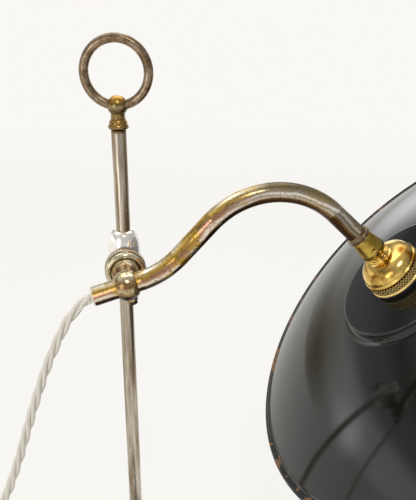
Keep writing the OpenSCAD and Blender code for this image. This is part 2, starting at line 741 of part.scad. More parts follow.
module shade() color("#1a1a1a") at_end() rotate_extrude($fn = 128) {
    polygon(concat(
        [[shade_hole_r, shade_z], [top_r - top_edge_r, shade_z]],
        arc([top_r - top_edge_r, shade_z + top_edge_r], top_edge_r, -75, 0, 5),
        [[step_foot_r - 1, side_z - 1]],
        shade_side(0),
        flip(shade_side(shade_t)),
        [[step_foot_r - 1 - shade_t, side_z + shade_t * 0.6]],
        [[top_r - shade_t, shade_z + top_edge_r], [top_r - top_edge_r, shade_z + shade_t]],
        [[shade_hole_r, shade_z + shade_t]]));
    translate([rim_r, side_z + shade_depth + shade_t / 2]) circle(bead_r, $fn = 16);
}

module lampholder_insert() color("#efeae0") at_end() difference() {
    union() {
        rod(insert_r, insert_z, insert_z + 6);
        rod(shell_r + 1.4, insert_z + 6, insert_z + insert_h);
        pipe(shell_r + 1.4, shell_r + seat, insert_z + insert_h - seat, shell_z + shell_l - 4);
    }
    for (a = [90, 210, 330]) rotate([0, 0, a]) translate([11, 0, 0]) rod(1.62, insert_z - cut, insert_z + 5);
}

module screw_shell() color("#c2a55a") at_end() {
    pipe(shell_r, shell_r - shell_t, shell_z, shell_z + shell_l);
    pipe(shell_r, shell_r - 3, shell_z, shell_z + 0.6);
}

module centre_contact() color("#c2a55a") at_end() {
    translate([-2, -8, shell_z]) cube([4, 8, 0.6]);
    translate([-2, -2.5, shell_z + 0.6]) cube([4, 5, bulb_z - shell_z - 0.6 - seat]);
}

module terminal_screws() color("#cfc9bb") at_end()
    for (a = [90, 210, 330]) rotate([0, 0, a]) translate([11, 0, 0]) {
        rod(1.6, insert_z - seat, insert_z + 4.5);
        rod(2.8, insert_z - 1.9, insert_z - seat);
    }

module bulb_cap() color("#c8c6c0") at_end() {
    turned(concat(
        [[0, bulb_z], [4.5, bulb_z], [4.5, bulb_z + 1], [bulb_cap_r - 1.5, bulb_z + 3]],
        [for (i = [0:15]) [bulb_cap_r - 0.9 * (i % 2), bulb_z + 4 + i * 1.1]],
        [[bulb_cap_r - 0.5, bulb_z + bulb_cap_l], [0, bulb_z + bulb_cap_l]]));
}

module bulb_globe() color("#f6f3ea") at_end() {
    waist_z = bulb_z + bulb_cap_l + seat;
    lean = 38;
    turned(concat(
        [[0, waist_z], [bulb_cap_r - 1, waist_z], [bulb_cap_r - 0.6, waist_z + 1.5]],
        arc([0, globe_z], bulb_r, lean - 90, 90, 20)));
}

// ---- Cord, switch and plug ----

module cord_drop() color("#d8cfbb") cord_tube(concat([cord_exit], drop_route, [switch_in]), cord_r);

module switch_place() translate([switch_x, switch_y, 0]) children();

// A box with its plan, its sides and its ends rounded
module soft_box(l, w, h, r) intersection() {
    linear_extrude(h) polygon(rounded(l, w, r));
    translate([0, w / 2, 0]) rotate([90, 0, 0]) linear_extrude(w)
        polygon(concat([[-l / 2, 0], [l / 2, 0]], arc([l / 2 - 5, h - 5], 5, 0, 90), arc([5 - l / 2, h - 5], 5, 90, 180)));
    translate([-l / 2, 0, 0]) rotate([90, 0, 90]) linear_extrude(l)
        polygon(concat([[-w / 2, 0], [w / 2, 0]], arc([w / 2 - 4, h - 4], 4, 0, 90), arc([4 - w / 2, h - 4], 4, 90, 180)));
}

// The switch's outer shape with its cable ways cut at both ends
module switch_shell() difference() {
    soft_box(switch_l, switch_w, switch_h, corner_r);
    translate([0, 0, switch_split]) rotate([0, 90, 0]) rod(cord_r - 0.6, -switch_l, switch_l);
}

module switch_base() color("#efe9da") switch_place() difference() {
    intersection() {
        switch_shell();
        translate([-switch_l / 2, -switch_w / 2, 0]) cube([switch_l, switch_w, switch_split - seat / 2]);
    }
    translate([0, 0, shell_wall]) linear_extrude(switch_h)
        polygon(rounded(rocker_l + 4, switch_w - 2 * shell_wall, 3));
    for (x = switch_screw_x) translate([x, 0, 0]) {
        rod(1.53, -cut, switch_h);
        rod(2.65, -cut, 1.8);
    }
}

module switch_cover() color("#efe9da") switch_place() difference() {
    intersection() {
        switch_shell();
        translate([-switch_l / 2, -switch_w / 2, switch_split + seat / 2]) cube([switch_l, switch_w, switch_h]);
    }
    translate([0, 0, -shell_wall]) linear_extrude(switch_h)
        polygon(rounded(rocker_l + 4, switch_w - 2 * shell_wall, 3));
    translate([-rocker_l / 2 - 0.4, -rocker_w / 2 - 0.3, 0]) cube([rocker_l + 0.8, rocker_w + 0.6, 2 * switch_h]);
    for (x = switch_screw_x) translate([x, 0, 0]) rod(1.53, 0, switch_h - 4);
    translate([0, 0, rocker_z]) rotate([90, 0, 0]) rod(rocker_r + run, -rocker_pin, rocker_pin);
}
switch_screw_x = [13 - switch_l / 2, switch_l / 2 - 13];

module switch_rocker() color("#2b2a28") switch_place() translate([0, 0, rocker_z]) rotate([90, 0, 0]) {
    rotate([0, 0, rocker_tilt]) translate([0, 0, -rocker_w / 2]) linear_extrude(rocker_w) polygon(concat(
        [[-rocker_l / 2 + 1.2, -1.5], [-2, -4], [2, -4], [rocker_l / 2 - 1.2, -1.5]],
        [for (i = [0:8]) let (x = (rocker_l / 2 - 0.9) * (1 - i / 4)) [x, 4 + 1.6 * pow(x / 9, 2)]]));
    rod(rocker_r, seat - rocker_pin, rocker_pin - seat);
}

module switch_contacts() color("#c2a55a") switch_place()
    for (x = [-6.5, 6.5]) translate([x, 0, shell_wall]) {
        translate([-2.5, -5, 0]) cube([5, 10, 2.4]);
        rod(1.2, 2.4, 3);
    }

module switch_screws() color("#8d8a83") switch_place() for (x = switch_screw_x) translate([x, 0, 0]) {
    rod(1.5, 1.8, switch_h - 4 - seat);
    rod(2.6, 0.4, 1.8);
}

module cord_tail() color("#d8cfbb") cord_tube(concat([tail_start], tail_route, [tail_end]), cord_r);

module cord_coil() color("#d8cfbb") translate([coil_x, coil_y, 0]) rotate_extrude() polygon(
    shift(rounded(coil_out_r - coil_in_r, coil_h, cord_r), [coil_r, coil_h / 2]));

module plug_lead() color("#d8cfbb") cord_tube(concat([lead_start], lead_route, [lead_end]), cord_r);

module plug_place() translate([plug_x, plug_y, 0]) children();

module plug_cover() color("#2b2a28") plug_place() difference() {
    translate([0, 0, plug_h]) mirror([0, 0, 1]) intersection() {
        soft_box(plug_l, plug_w, plug_h, 12);
        translate([-plug_l / 2, -plug_w / 2, 7 + seat]) cube([plug_l, plug_w, plug_h]);
    }
    translate([0, 0, plug_wall]) linear_extrude(plug_h)
        polygon(rounded(plug_l - 2 * plug_wall, plug_w - 2 * plug_wall, 9.8));
}

module plug_carrier() color("#2b2a28") plug_place() difference() {
    translate([0, 0, plug_split]) linear_extrude(7) polygon(rounded(plug_l, plug_w, 12));
    for (i = [0:2]) translate([pin_at[i][0], pin_at[i][1], plug_split + 3.5])
        cube([pin_l[i] + 0.1, pin_w[i] + 0.1, 9], center = true);
}

module plug_pins() color("#c2a55a") plug_place()
    for (i = [0:2]) translate([pin_at[i][0] - pin_l[i] / 2, pin_at[i][1] - pin_w[i] / 2, plug_split])
        cube([pin_l[i], pin_w[i], 7 + pin_h[i]]);

module plug_fuse() color("#d9d4c8") plug_place() translate([-fuse_l / 2 + 3, 0, plug_split - fuse_r - seat])
    rotate([0, 90, 0]) cylinder(r = fuse_r, h = fuse_l);

felt_pad();
base_weight();
base_cover();
stem_socket();
stem_washer();
stem_nut();
stem();
finial();
ring_handle();
slider_bush();
bush_clip();
slider_block();
brake_shoe();
thumbscrew();
friction_washer();
swivel_nut();
spring_washer();
swivel_spindle();
arm_lock_screw();
arm_tube();
arm_grommet();
arm_lead();
end_collar();
nipple();
cord_grip();
grip_screw();
lampholder_cap();
lampholder_sleeve();
upper_shade_ring();
shade_gasket();
shade();
lower_shade_ring();
lampholder_insert();
screw_shell();
centre_contact();
terminal_screws();
bulb_cap();
bulb_globe();
cord_drop();
switch_base();
switch_cover();
switch_rocker();
switch_contacts();
switch_screws();
cord_tail();
cord_coil();
plug_lead();
plug_cover();
plug_carrier();
plug_pins();
plug_fuse();
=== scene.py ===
import json
import math
from functools import partial

import bmesh
import bpy
from mathutils import Matrix, Vector


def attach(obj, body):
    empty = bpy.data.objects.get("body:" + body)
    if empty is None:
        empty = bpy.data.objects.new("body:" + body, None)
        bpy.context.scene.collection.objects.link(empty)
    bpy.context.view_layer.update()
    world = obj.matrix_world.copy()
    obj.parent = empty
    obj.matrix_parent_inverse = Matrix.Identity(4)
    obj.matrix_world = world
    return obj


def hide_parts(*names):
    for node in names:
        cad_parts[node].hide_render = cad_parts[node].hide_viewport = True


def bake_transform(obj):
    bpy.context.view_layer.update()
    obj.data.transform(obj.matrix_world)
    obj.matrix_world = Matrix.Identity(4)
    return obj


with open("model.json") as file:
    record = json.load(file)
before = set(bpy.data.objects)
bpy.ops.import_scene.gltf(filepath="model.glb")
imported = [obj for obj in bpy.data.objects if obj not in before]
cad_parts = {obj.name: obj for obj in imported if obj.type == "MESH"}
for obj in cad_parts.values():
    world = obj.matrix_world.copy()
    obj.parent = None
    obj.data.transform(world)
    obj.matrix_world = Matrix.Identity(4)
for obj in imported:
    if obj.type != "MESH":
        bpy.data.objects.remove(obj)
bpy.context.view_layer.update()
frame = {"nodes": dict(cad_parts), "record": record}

# The lamp stands on the origin, in metres. Its arm lies in a plane in front of the stem.
NODES = frame["nodes"]
BODY_OF = {node: body for body, nodes in frame["record"]["behaviour"]["bodies"].items() for node in nodes}
SLOT_OF = {part["node"]: part["material_slot"] for part in frame["record"]["subparts"]}
ARM_PLANE = -0.045
SWIVEL_HEIGHT = 0.3255

# The shade's axis runs on from the arm's end and falls away. The ring and the rim are places along it.
ARM_END = Vector((0.137046, ARM_PLANE, SWIVEL_HEIGHT + 0.043135))
FALL = math.radians(43.6)
SHADE_AXIS = Vector((math.cos(FALL), 0, -math.sin(FALL)))
RING_TOP = 0.06
RING_DEPTH = 0.008
RIM_PLANE = 0.1095
# The place on the rim that was knocked most, and how far round it the enamel is worse
KNOCK = Vector((0.1261, 0.0487, 0.1983))
KNOCK_REACH = 0.035

# What the camera sees behind the lamp, and what the floor turns into far off
BACKGROUND = "#faf8f4"


# ---- Camera ----

CAMERA_PLACE = (-0.007843, -0.449347, 0.5067)
CAMERA_TURN = -8.5957
CAMERA_DIP = 21.302
CAMERA_ROLL = 0.1178
SENSOR_MM = 36
LENS_MM = 48.579


def place_camera():
    """A view from the front, a little to the left of the stem and above it."""
    data = bpy.data.cameras.new("front_camera")
    data.sensor_fit = "AUTO"
    data.sensor_width = SENSOR_MM
    data.lens = LENS_MM
    data.clip_start = 0.02
    data.clip_end = 50
    camera = bpy.data.objects.new("front_camera", data)
    bpy.context.scene.collection.objects.link(camera)
    turn = Matrix.Rotation(math.radians(CAMERA_TURN), 4, "Z")
    tilt = Matrix.Rotation(math.radians(90 - CAMERA_DIP), 4, "X")
    roll = Matrix.Rotation(math.radians(CAMERA_ROLL), 4, "Z")
    camera.matrix_world = Matrix.Translation(CAMERA_PLACE) @ turn @ tilt @ roll
    bpy.context.scene.camera = camera


place_camera()


# ---- Colours and nodes ----

def colour(hex_text):
    """An sRGB hex value as the linear colour that Blender's sockets take."""
    channels = [int(hex_text[i:i + 2], 16) / 255 for i in (1, 3, 5)]
    return tuple(c / 12.92 if c <= 0.04045 else ((c + 0.055) / 1.055) ** 2.4 for c in channels) + (1.0,)


def per_metre(size_mm):
    """A pattern's scale from the size of what it shows, in millimetres."""
    return 1000 / size_mm


def add_node(tree, kind, inputs=None, stops=(), **settings):
    """Adds a shader node with its settings. Each input gets another node's output, a hex colour or a plain
    value, and a colour ramp gets its stops as pairs of a place and a hex colour or grey level."""
    node = tree.nodes.new("ShaderNode" + kind)
    for name, value in settings.items():
        setattr(node, name, value)
    for socket, value in (inputs or {}).items():
        if isinstance(value, bpy.types.NodeSocket):
            tree.links.new(value, node.inputs[socket])
        else:
            node.inputs[socket].default_value = colour(value) if isinstance(value, str) else value
    if stops:
        elements = node.color_ramp.elements
        while len(elements) < len(stops):
            elements.new(0.5)
        for element, (place, value) in zip(elements, stops):
            element.position = place
            element.color = colour(value) if isinstance(value, str) else (value, value, value, 1)
    return node


def start_material(name):
    """An empty material and the function that adds a node to it."""
    material = bpy.data.materials.new(name)
    material.use_nodes = True
    material.node_tree.nodes.clear()
    return material, partial(add_node, material.node_tree)


# ---- Metals ----

# The sizes of what the patterns show, in millimetres. Real pits, scratches and cast grain are finer: they are
# drawn as coarse as they need to be to show.
SPECK_MM = 1.6
SCRATCH_MM = 0.9
YELLOWING_MM = 14
GRAIN_MM = 0.8
CHIP_MM = 11
WAVE_MM = 40
# Where the arm's finish changes to that of its far end, along X
FAR_END = (0.062, 0.092)


def worn_plate(name, plate, worn, dark, patch_mm=9.0, wear=(0.42, 0.62), rough=(0.16, 0.38),
               grain=(1, 1, 1), pits=(0.30, 0.44), painted_light_bands=(), far_painted_light_bands=(), metallic=0.85, grooves=(),
               scratches=0.06):
    """Old plated metal: the plate's colour, patches where it has worn through, dark specks in the pits and
    fine scratches. grain stretches the pattern along the direction in which the piece was drawn. The bands
    are painted light and shade: tones by which way the surface faces, from the underside, which no cloth
    reaches, to the top, and the far bands those at the arm's far end. grooves are the (place, half width,
    tone) of painted shade in the turned grooves along Y."""
    material, add = start_material(name)
    coords = add("TexCoord").outputs
    place = coords["Object"]
    drawn = add("Mapping", {"Vector": place, "Scale": grain}).outputs[0]
    patches = add("TexNoise", {"Vector": drawn, "Scale": per_metre(patch_mm), "Detail": 5.0,
                               "Roughness": 0.62}).outputs["Fac"]
    bare = add("ValToRGB", {"Fac": patches}, [(wear[0], 0.0), (wear[1], 1.0)]).outputs[0]
    metal = plate
    if painted_light_bands:
        # Painted light and shade by which way the surface faces. The bands' borders are ragged, as the
        # patches shift them
        height = add("SeparateXYZ", {"Vector": coords["Normal"]}).outputs["Z"]
        ragged = add("Math", {0: patches, 1: 0.5, 2: height}, operation="MULTIPLY_ADD").outputs[0]
        level = add("MapRange", {"Value": ragged, "From Min": -0.75, "From Max": 1.25}).outputs["Result"]
        metal = add("ValToRGB", {"Fac": level}, painted_light_bands).outputs[0]
        reached = add("ValToRGB", {"Fac": level}, [(0.28, 0.0), (0.38, 1.0)]).outputs[0]
        bare = add("Math", {0: bare, 1: reached}, operation="MULTIPLY").outputs[0]
    if far_painted_light_bands:
        # The far end mirrors less, so that its painted light and shade show more, and less brass shows
        # through
        across = add("SeparateXYZ", {"Vector": place}).outputs["X"]
        end = add("MapRange", {"Value": across, "From Min": FAR_END[0],
                               "From Max": FAR_END[1]}).outputs["Result"]
        far = add("ValToRGB", {"Fac": level}, far_painted_light_bands).outputs[0]
        metal = add("Mix", {"Factor": end, "A": metal, "B": far}, data_type="RGBA").outputs["Result"]
        metallic = add("MapRange", {"Value": end, "To Min": metallic, "To Max": 0.4}).outputs["Result"]
        kept = add("MapRange", {"Value": end, "To Min": 1.0, "To Max": 0.3}).outputs["Result"]
        bare = add("Math", {0: bare, 1: kept}, operation="MULTIPLY").outputs[0]
    metal = add("Mix", {"Factor": bare, "A": metal, "B": worn}, data_type="RGBA").outputs["Result"]
    specks = add("TexNoise", {"Vector": place, "Scale": per_metre(SPECK_MM), "Detail": 3.0,
                              "Roughness": 0.7}).outputs["Fac"]
    pitted = add("ValToRGB", {"Fac": specks}, [(pits[0], 1.0), (pits[1], 0.0)]).outputs[0]
    metal = add("Mix", {"Factor": pitted, "A": metal, "B": dark}, data_type="RGBA").outputs["Result"]
    # Painted shade: a dark band along Y over each groove
    for middle, half, groove_shade_tone in grooves:
        along = add("SeparateXYZ", {"Vector": place}).outputs["Y"]
        off = add("Math", {0: along, 1: middle}, operation="SUBTRACT").outputs[0]
        off = add("Math", {0: off}, operation="ABSOLUTE").outputs[0]
        groove_shade = add("MapRange", {"Value": off, "From Min": half * 0.6, "From Max": half * 1.3,
                                "To Min": 0.85, "To Max": 0.0}).outputs["Result"]
        metal = add("Mix", {"Factor": groove_shade, "A": metal, "B": groove_shade_tone}, data_type="RGBA").outputs["Result"]
    gloss = add("MapRange", {"Value": patches, "From Min": 0.3, "From Max": 0.7, "To Min": rough[0],
                             "To Max": rough[1]}).outputs["Result"]
    fine = add("TexNoise", {"Vector": drawn, "Scale": per_metre(SCRATCH_MM), "Detail": 2.0}).outputs["Fac"]
    scratched = add("Bump", {"Height": fine, "Strength": scratches, "Distance": 0.0002}).outputs["Normal"]
    shader = add("BsdfPrincipled", {"Base Color": metal, "Metallic": metallic, "Roughness": gloss,
                                    "Normal": scratched})
    add("OutputMaterial", {"Surface": shader.outputs[0]})
    return material


def polished_brass(name, clean, tarnish, rough=0.17):
    """Lacquered brass: mirror bright, with a slow drift in tone where the lacquer has yellowed."""
    material, add = start_material(name)
    place = add("TexCoord").outputs["Object"]
    drift = add("TexNoise", {"Vector": place, "Scale": per_metre(YELLOWING_MM),
                             "Detail": 3.0}).outputs["Fac"]
    yellowed = add("ValToRGB", {"Fac": drift}, [(0.42, 0.0), (0.62, 1.0)]).outputs[0]
    tone = add("Mix", {"Factor": yellowed, "A": clean, "B": tarnish}, data_type="RGBA").outputs["Result"]
    gloss = add("MapRange", {"Value": drift, "From Min": 0.3, "From Max": 0.7, "To Min": rough,
                             "To Max": rough + 0.08}).outputs["Result"]
    shader = add("BsdfPrincipled", {"Base Color": tone, "Metallic": 1.0, "Roughness": gloss})
    add("OutputMaterial", {"Surface": shader.outputs[0]})
    return material


KNURL_MM = 2.5
KNURLS_ROUND = 56


def knurled_brass_painted_light():
    """The shade ring's diamond knurling: pale crests with a painted glint, and brown grooves with painted
    shade.
    It runs round the shade's axis, over the band of the ring that is cut. At 2.5 mm it is drawn coarser than
    a real knurl, so that it shows."""
    material, add = start_material("knurled_brass_painted_light")
    place = add("TexCoord").outputs["Object"]
    centred = add("VectorMath", {0: place, 1: ARM_END}, operation="SUBTRACT").outputs[0]
    upwards = SHADE_AXIS.cross(Vector((0, 1, 0)))
    along, up = [add("VectorMath", {0: centred, 1: way}, operation="DOT_PRODUCT").outputs["Value"]
                 for way in (SHADE_AXIS, upwards)]
    across = add("SeparateXYZ", {"Vector": centred}).outputs["Y"]
    turn = add("Math", {0: across, 1: up}, operation="ARCTAN2").outputs[0]
    ridges = []
    for lean in (1, -1):
        slant = add("Math", {0: along, 1: lean * 2 * math.pi * per_metre(KNURL_MM)},
                    operation="MULTIPLY").outputs[0]
        phase = add("Math", {0: turn, 1: KNURLS_ROUND, 2: slant}, operation="MULTIPLY_ADD").outputs[0]
        ridges.append(add("Math", {0: phase}, operation="SINE").outputs[0])
    crest = add("Math", {0: ridges[0], 1: ridges[1]}, operation="MAXIMUM").outputs[0]
    level = add("MapRange", {"Value": crest, "From Min": 0.1, "From Max": 1.0}).outputs["Result"]
    down = add("MapRange", {"Value": along, "From Min": RING_TOP,
                            "From Max": RING_TOP + RING_DEPTH}).outputs["Result"]
    cut = add("ValToRGB", {"Fac": down}, [(0.60, 1.0), (0.64, 0.0)]).outputs[0]
    lifted = add("Mix", {"Factor": cut, "A": 1.0, "B": level}, data_type="FLOAT").outputs["Result"]
    # Painted glint on the crests and painted shade in the grooves; half metallic, so that these colours show
    tone = add("Mix", {"Factor": lifted, "A": "#4a300a", "B": "#f6d588"},
               data_type="RGBA").outputs["Result"]
    bump = add("Bump", {"Height": lifted, "Strength": 0.3, "Distance": 0.0003}).outputs["Normal"]
    shader = add("BsdfPrincipled", {"Base Color": tone, "Metallic": 0.5, "Roughness": 0.28, "Normal": bump})
    add("OutputMaterial", {"Surface": shader.outputs[0]})
    return material


# ---- Enamel, cotton and moulded finishes ----

def smooth_finish(name, base, shade, rough, patch_mm=12.0, **more):
    """A moulded, cast or glazed surface: two close tones in soft patches and a faint unevenness."""
    material, add = start_material(name)
    place = add("TexCoord").outputs["Object"]
    soft = add("TexNoise", {"Vector": place, "Scale": per_metre(patch_mm), "Detail": 4.0}).outputs["Fac"]
    tone = add("Mix", {"Factor": soft, "A": base, "B": shade}, data_type="RGBA").outputs["Result"]
    fine = add("TexNoise", {"Vector": place, "Scale": per_metre(GRAIN_MM), "Detail": 2.0}).outputs["Fac"]
    bump = add("Bump", {"Height": fine, "Strength": 0.06, "Distance": 0.0003}).outputs["Normal"]
    shader = add("BsdfPrincipled", {"Base Color": tone, "Roughness": rough, "Normal": bump})
    for socket, value in more.items():
        shader.inputs[socket.replace("_", " ")].default_value = value
    add("OutputMaterial", {"Surface": shader.outputs[0]})
    return material


def vitreous_enamel():
    """Vitreous enamel on steel: black glass outside, a little wavy, white inside to throw the light, and
    chipped to rusty steel along the rolled rim."""
    material, add = start_material("vitreous_enamel")
    coords = add("TexCoord").outputs
    place = coords["Object"]
    centred = add("VectorMath", {0: place, 1: ARM_END}, operation="SUBTRACT").outputs[0]
    along = add("VectorMath", {0: centred, 1: SHADE_AXIS}, operation="DOT_PRODUCT").outputs["Value"]
    near_rim = add("MapRange", {"Value": along, "From Min": RIM_PLANE - 0.0045,
                                "From Max": RIM_PLANE - 0.001}).outputs["Result"]
    spots = add("TexNoise", {"Vector": place, "Scale": per_metre(CHIP_MM), "Detail": 4.0,
                             "Roughness": 0.65}).outputs["Fac"]
    from_knock = add("VectorMath", {0: place, 1: KNOCK}, operation="DISTANCE").outputs["Value"]
    worse = add("MapRange", {"Value": from_knock, "From Max": KNOCK_REACH, "To Min": 0.13,
                             "To Max": 0.0}).outputs["Result"]
    ragged = add("Math", {0: spots, 1: worse}, operation="ADD").outputs[0]
    chips = add("ValToRGB", {"Fac": ragged}, [(0.57, 0.0), (0.61, 1.0)]).outputs[0]
    chipped = add("Math", {0: near_rim, 1: chips}, operation="MULTIPLY").outputs[0]
    # White where the wall looks the shade's way, up to the black of the rim
    faces = add("VectorMath", {0: coords["Normal"], 1: SHADE_AXIS},
                operation="DOT_PRODUCT").outputs["Value"]
    inner = add("MapRange", {"Value": faces, "From Min": 0.1, "From Max": 0.2}).outputs["Result"]
    off_rim = add("MapRange", {"Value": along, "From Min": RIM_PLANE - 0.0032, "To Min": 1.0,
                               "From Max": RIM_PLANE - 0.0027, "To Max": 0.0}).outputs["Result"]
    inside = add("Math", {0: inner, 1: off_rim}, operation="MULTIPLY").outputs[0]
    glass = add("Mix", {"Factor": inside, "A": "#101411", "B": "#e9e7e0"},
                data_type="RGBA").outputs["Result"]
    tone = add("Mix", {"Factor": chipped, "A": glass, "B": "#86592f"}, data_type="RGBA").outputs["Result"]
    gloss = add("MapRange", {"Value": chipped, "To Min": 0.09, "To Max": 0.6}).outputs["Result"]
    waves = add("TexNoise", {"Vector": place, "Scale": per_metre(WAVE_MM), "Detail": 1.0}).outputs["Fac"]
    wavy = add("Bump", {"Height": waves, "Strength": 0.05, "Distance": 0.002}).outputs["Normal"]
    shader = add("BsdfPrincipled", {"Base Color": tone, "Roughness": gloss, "IOR": 1.5, "Normal": wavy})
    add("OutputMaterial", {"Surface": shader.outputs[0]})
    return material


THREAD_MM = 1.4
THREADS_ROUND = 6.0


def braided_cotton_painted_shade():
    """Cotton braid over each core: off-white thread in crossing diagonals about 0.7 mm apart, matt, with
    painted shade, brown, between the threads. It is drawn a little coarser than the real braid, so that it
    shows.
    The UV map runs round a core and along it."""
    material, add = start_material("braided_cotton_painted_shade")
    uv = add("TexCoord").outputs["UV"]
    parts = add("SeparateXYZ", {"Vector": uv}).outputs
    ribs = []
    for lean in (1, -1):
        slant = add("Math", {0: parts["X"], 1: lean * THREADS_ROUND}, operation="MULTIPLY").outputs[0]
        phase = add("Math", {0: parts["Y"], 1: per_metre(THREAD_MM), 2: slant},
                    operation="MULTIPLY_ADD").outputs[0]
        turned = add("Math", {0: phase, 1: 2 * math.pi}, operation="MULTIPLY").outputs[0]
        ribs.append(add("Math", {0: turned}, operation="SINE").outputs[0])
    weave = add("Math", {0: ribs[0], 1: ribs[1]}, operation="MAXIMUM").outputs[0]
    level = add("MapRange", {"Value": weave, "From Min": -0.6, "From Max": 1.0}).outputs["Result"]
    # Painted shade: brown in the gaps between the threads, off-white on them
    tone = add("Mix", {"Factor": level, "A": "#b5aa94", "B": "#f7f3ea"}, data_type="RGBA").outputs["Result"]
    bump = add("Bump", {"Height": level, "Strength": 0.5, "Distance": 0.0003}).outputs["Normal"]
    shader = add("BsdfPrincipled", {"Base Color": tone, "Roughness": 0.85, "Sheen Weight": 0.3,
                                    "Sheen Roughness": 0.5, "Normal": bump})
    add("OutputMaterial", {"Surface": shader.outputs[0]})
    return material


# ---- The lamp's finishes ----

# Painted light and shade: tones by which way a surface faces, from the underside, at 0, to the top, at 1,
# dark below as painted shade, with pale bands as painted highlights: the arm by the swivel and at its far
# end, the swivel and the finial
ARM_NEAR_PAINTED_LIGHT = [(0.0, "#1d110a"), (0.27, "#2a170c"), (0.33, "#6b4424"), (0.38, "#e6dccb"), (0.46, "#dfcfba"),
            (0.53, "#a87a62"), (0.66, "#b48c6c"), (0.74, "#d2a544"), (0.82, "#ccae66"), (0.88, "#ebe0c2"),
            (1.0, "#faf3e2")]
ARM_FAR_PAINTED_LIGHT = [(0.0, "#3a2614"), (0.25, "#5a3c20"), (0.35, "#8f6a3c"), (0.41, "#c8bfb0"), (0.50, "#8d7c66"),
           (0.59, "#fffaf0"), (0.66, "#a89a84"), (0.74, "#8f8168"), (0.82, "#75684a"), (0.90, "#6b5c38"),
           (1.0, "#5c4c2c")]
SWIVEL_PAINTED_LIGHT = [(0.0, "#22150c"), (0.25, "#3a2616"), (0.38, "#a08a64"), (0.48, "#c9b890"), (0.6, "#8a6540"),
          (0.75, "#a48a5c"), (0.9, "#d8ceb0"), (1.0, "#d2c6a6")]
FINIAL_PAINTED_LIGHT = [(0.0, "#3a2c1a"), (0.3, "#6a5838"), (0.46, "#9c8a62"), (0.6, "#77623a"), (0.82, "#b98a3e"),
          (1.0, "#d6a04a")]
# Painted shade in the swivel's neck and in the nut's turned grooves, as (place along Y, half width, tone)
NECK_PAINTED_SHADE = [(-0.0322, 0.0032, "#6e4c22")]
NUT_GROOVE_SHADE = [(-0.0205, 0.0011, "#17100b"), (-0.0134, 0.0005, "#17100b")]

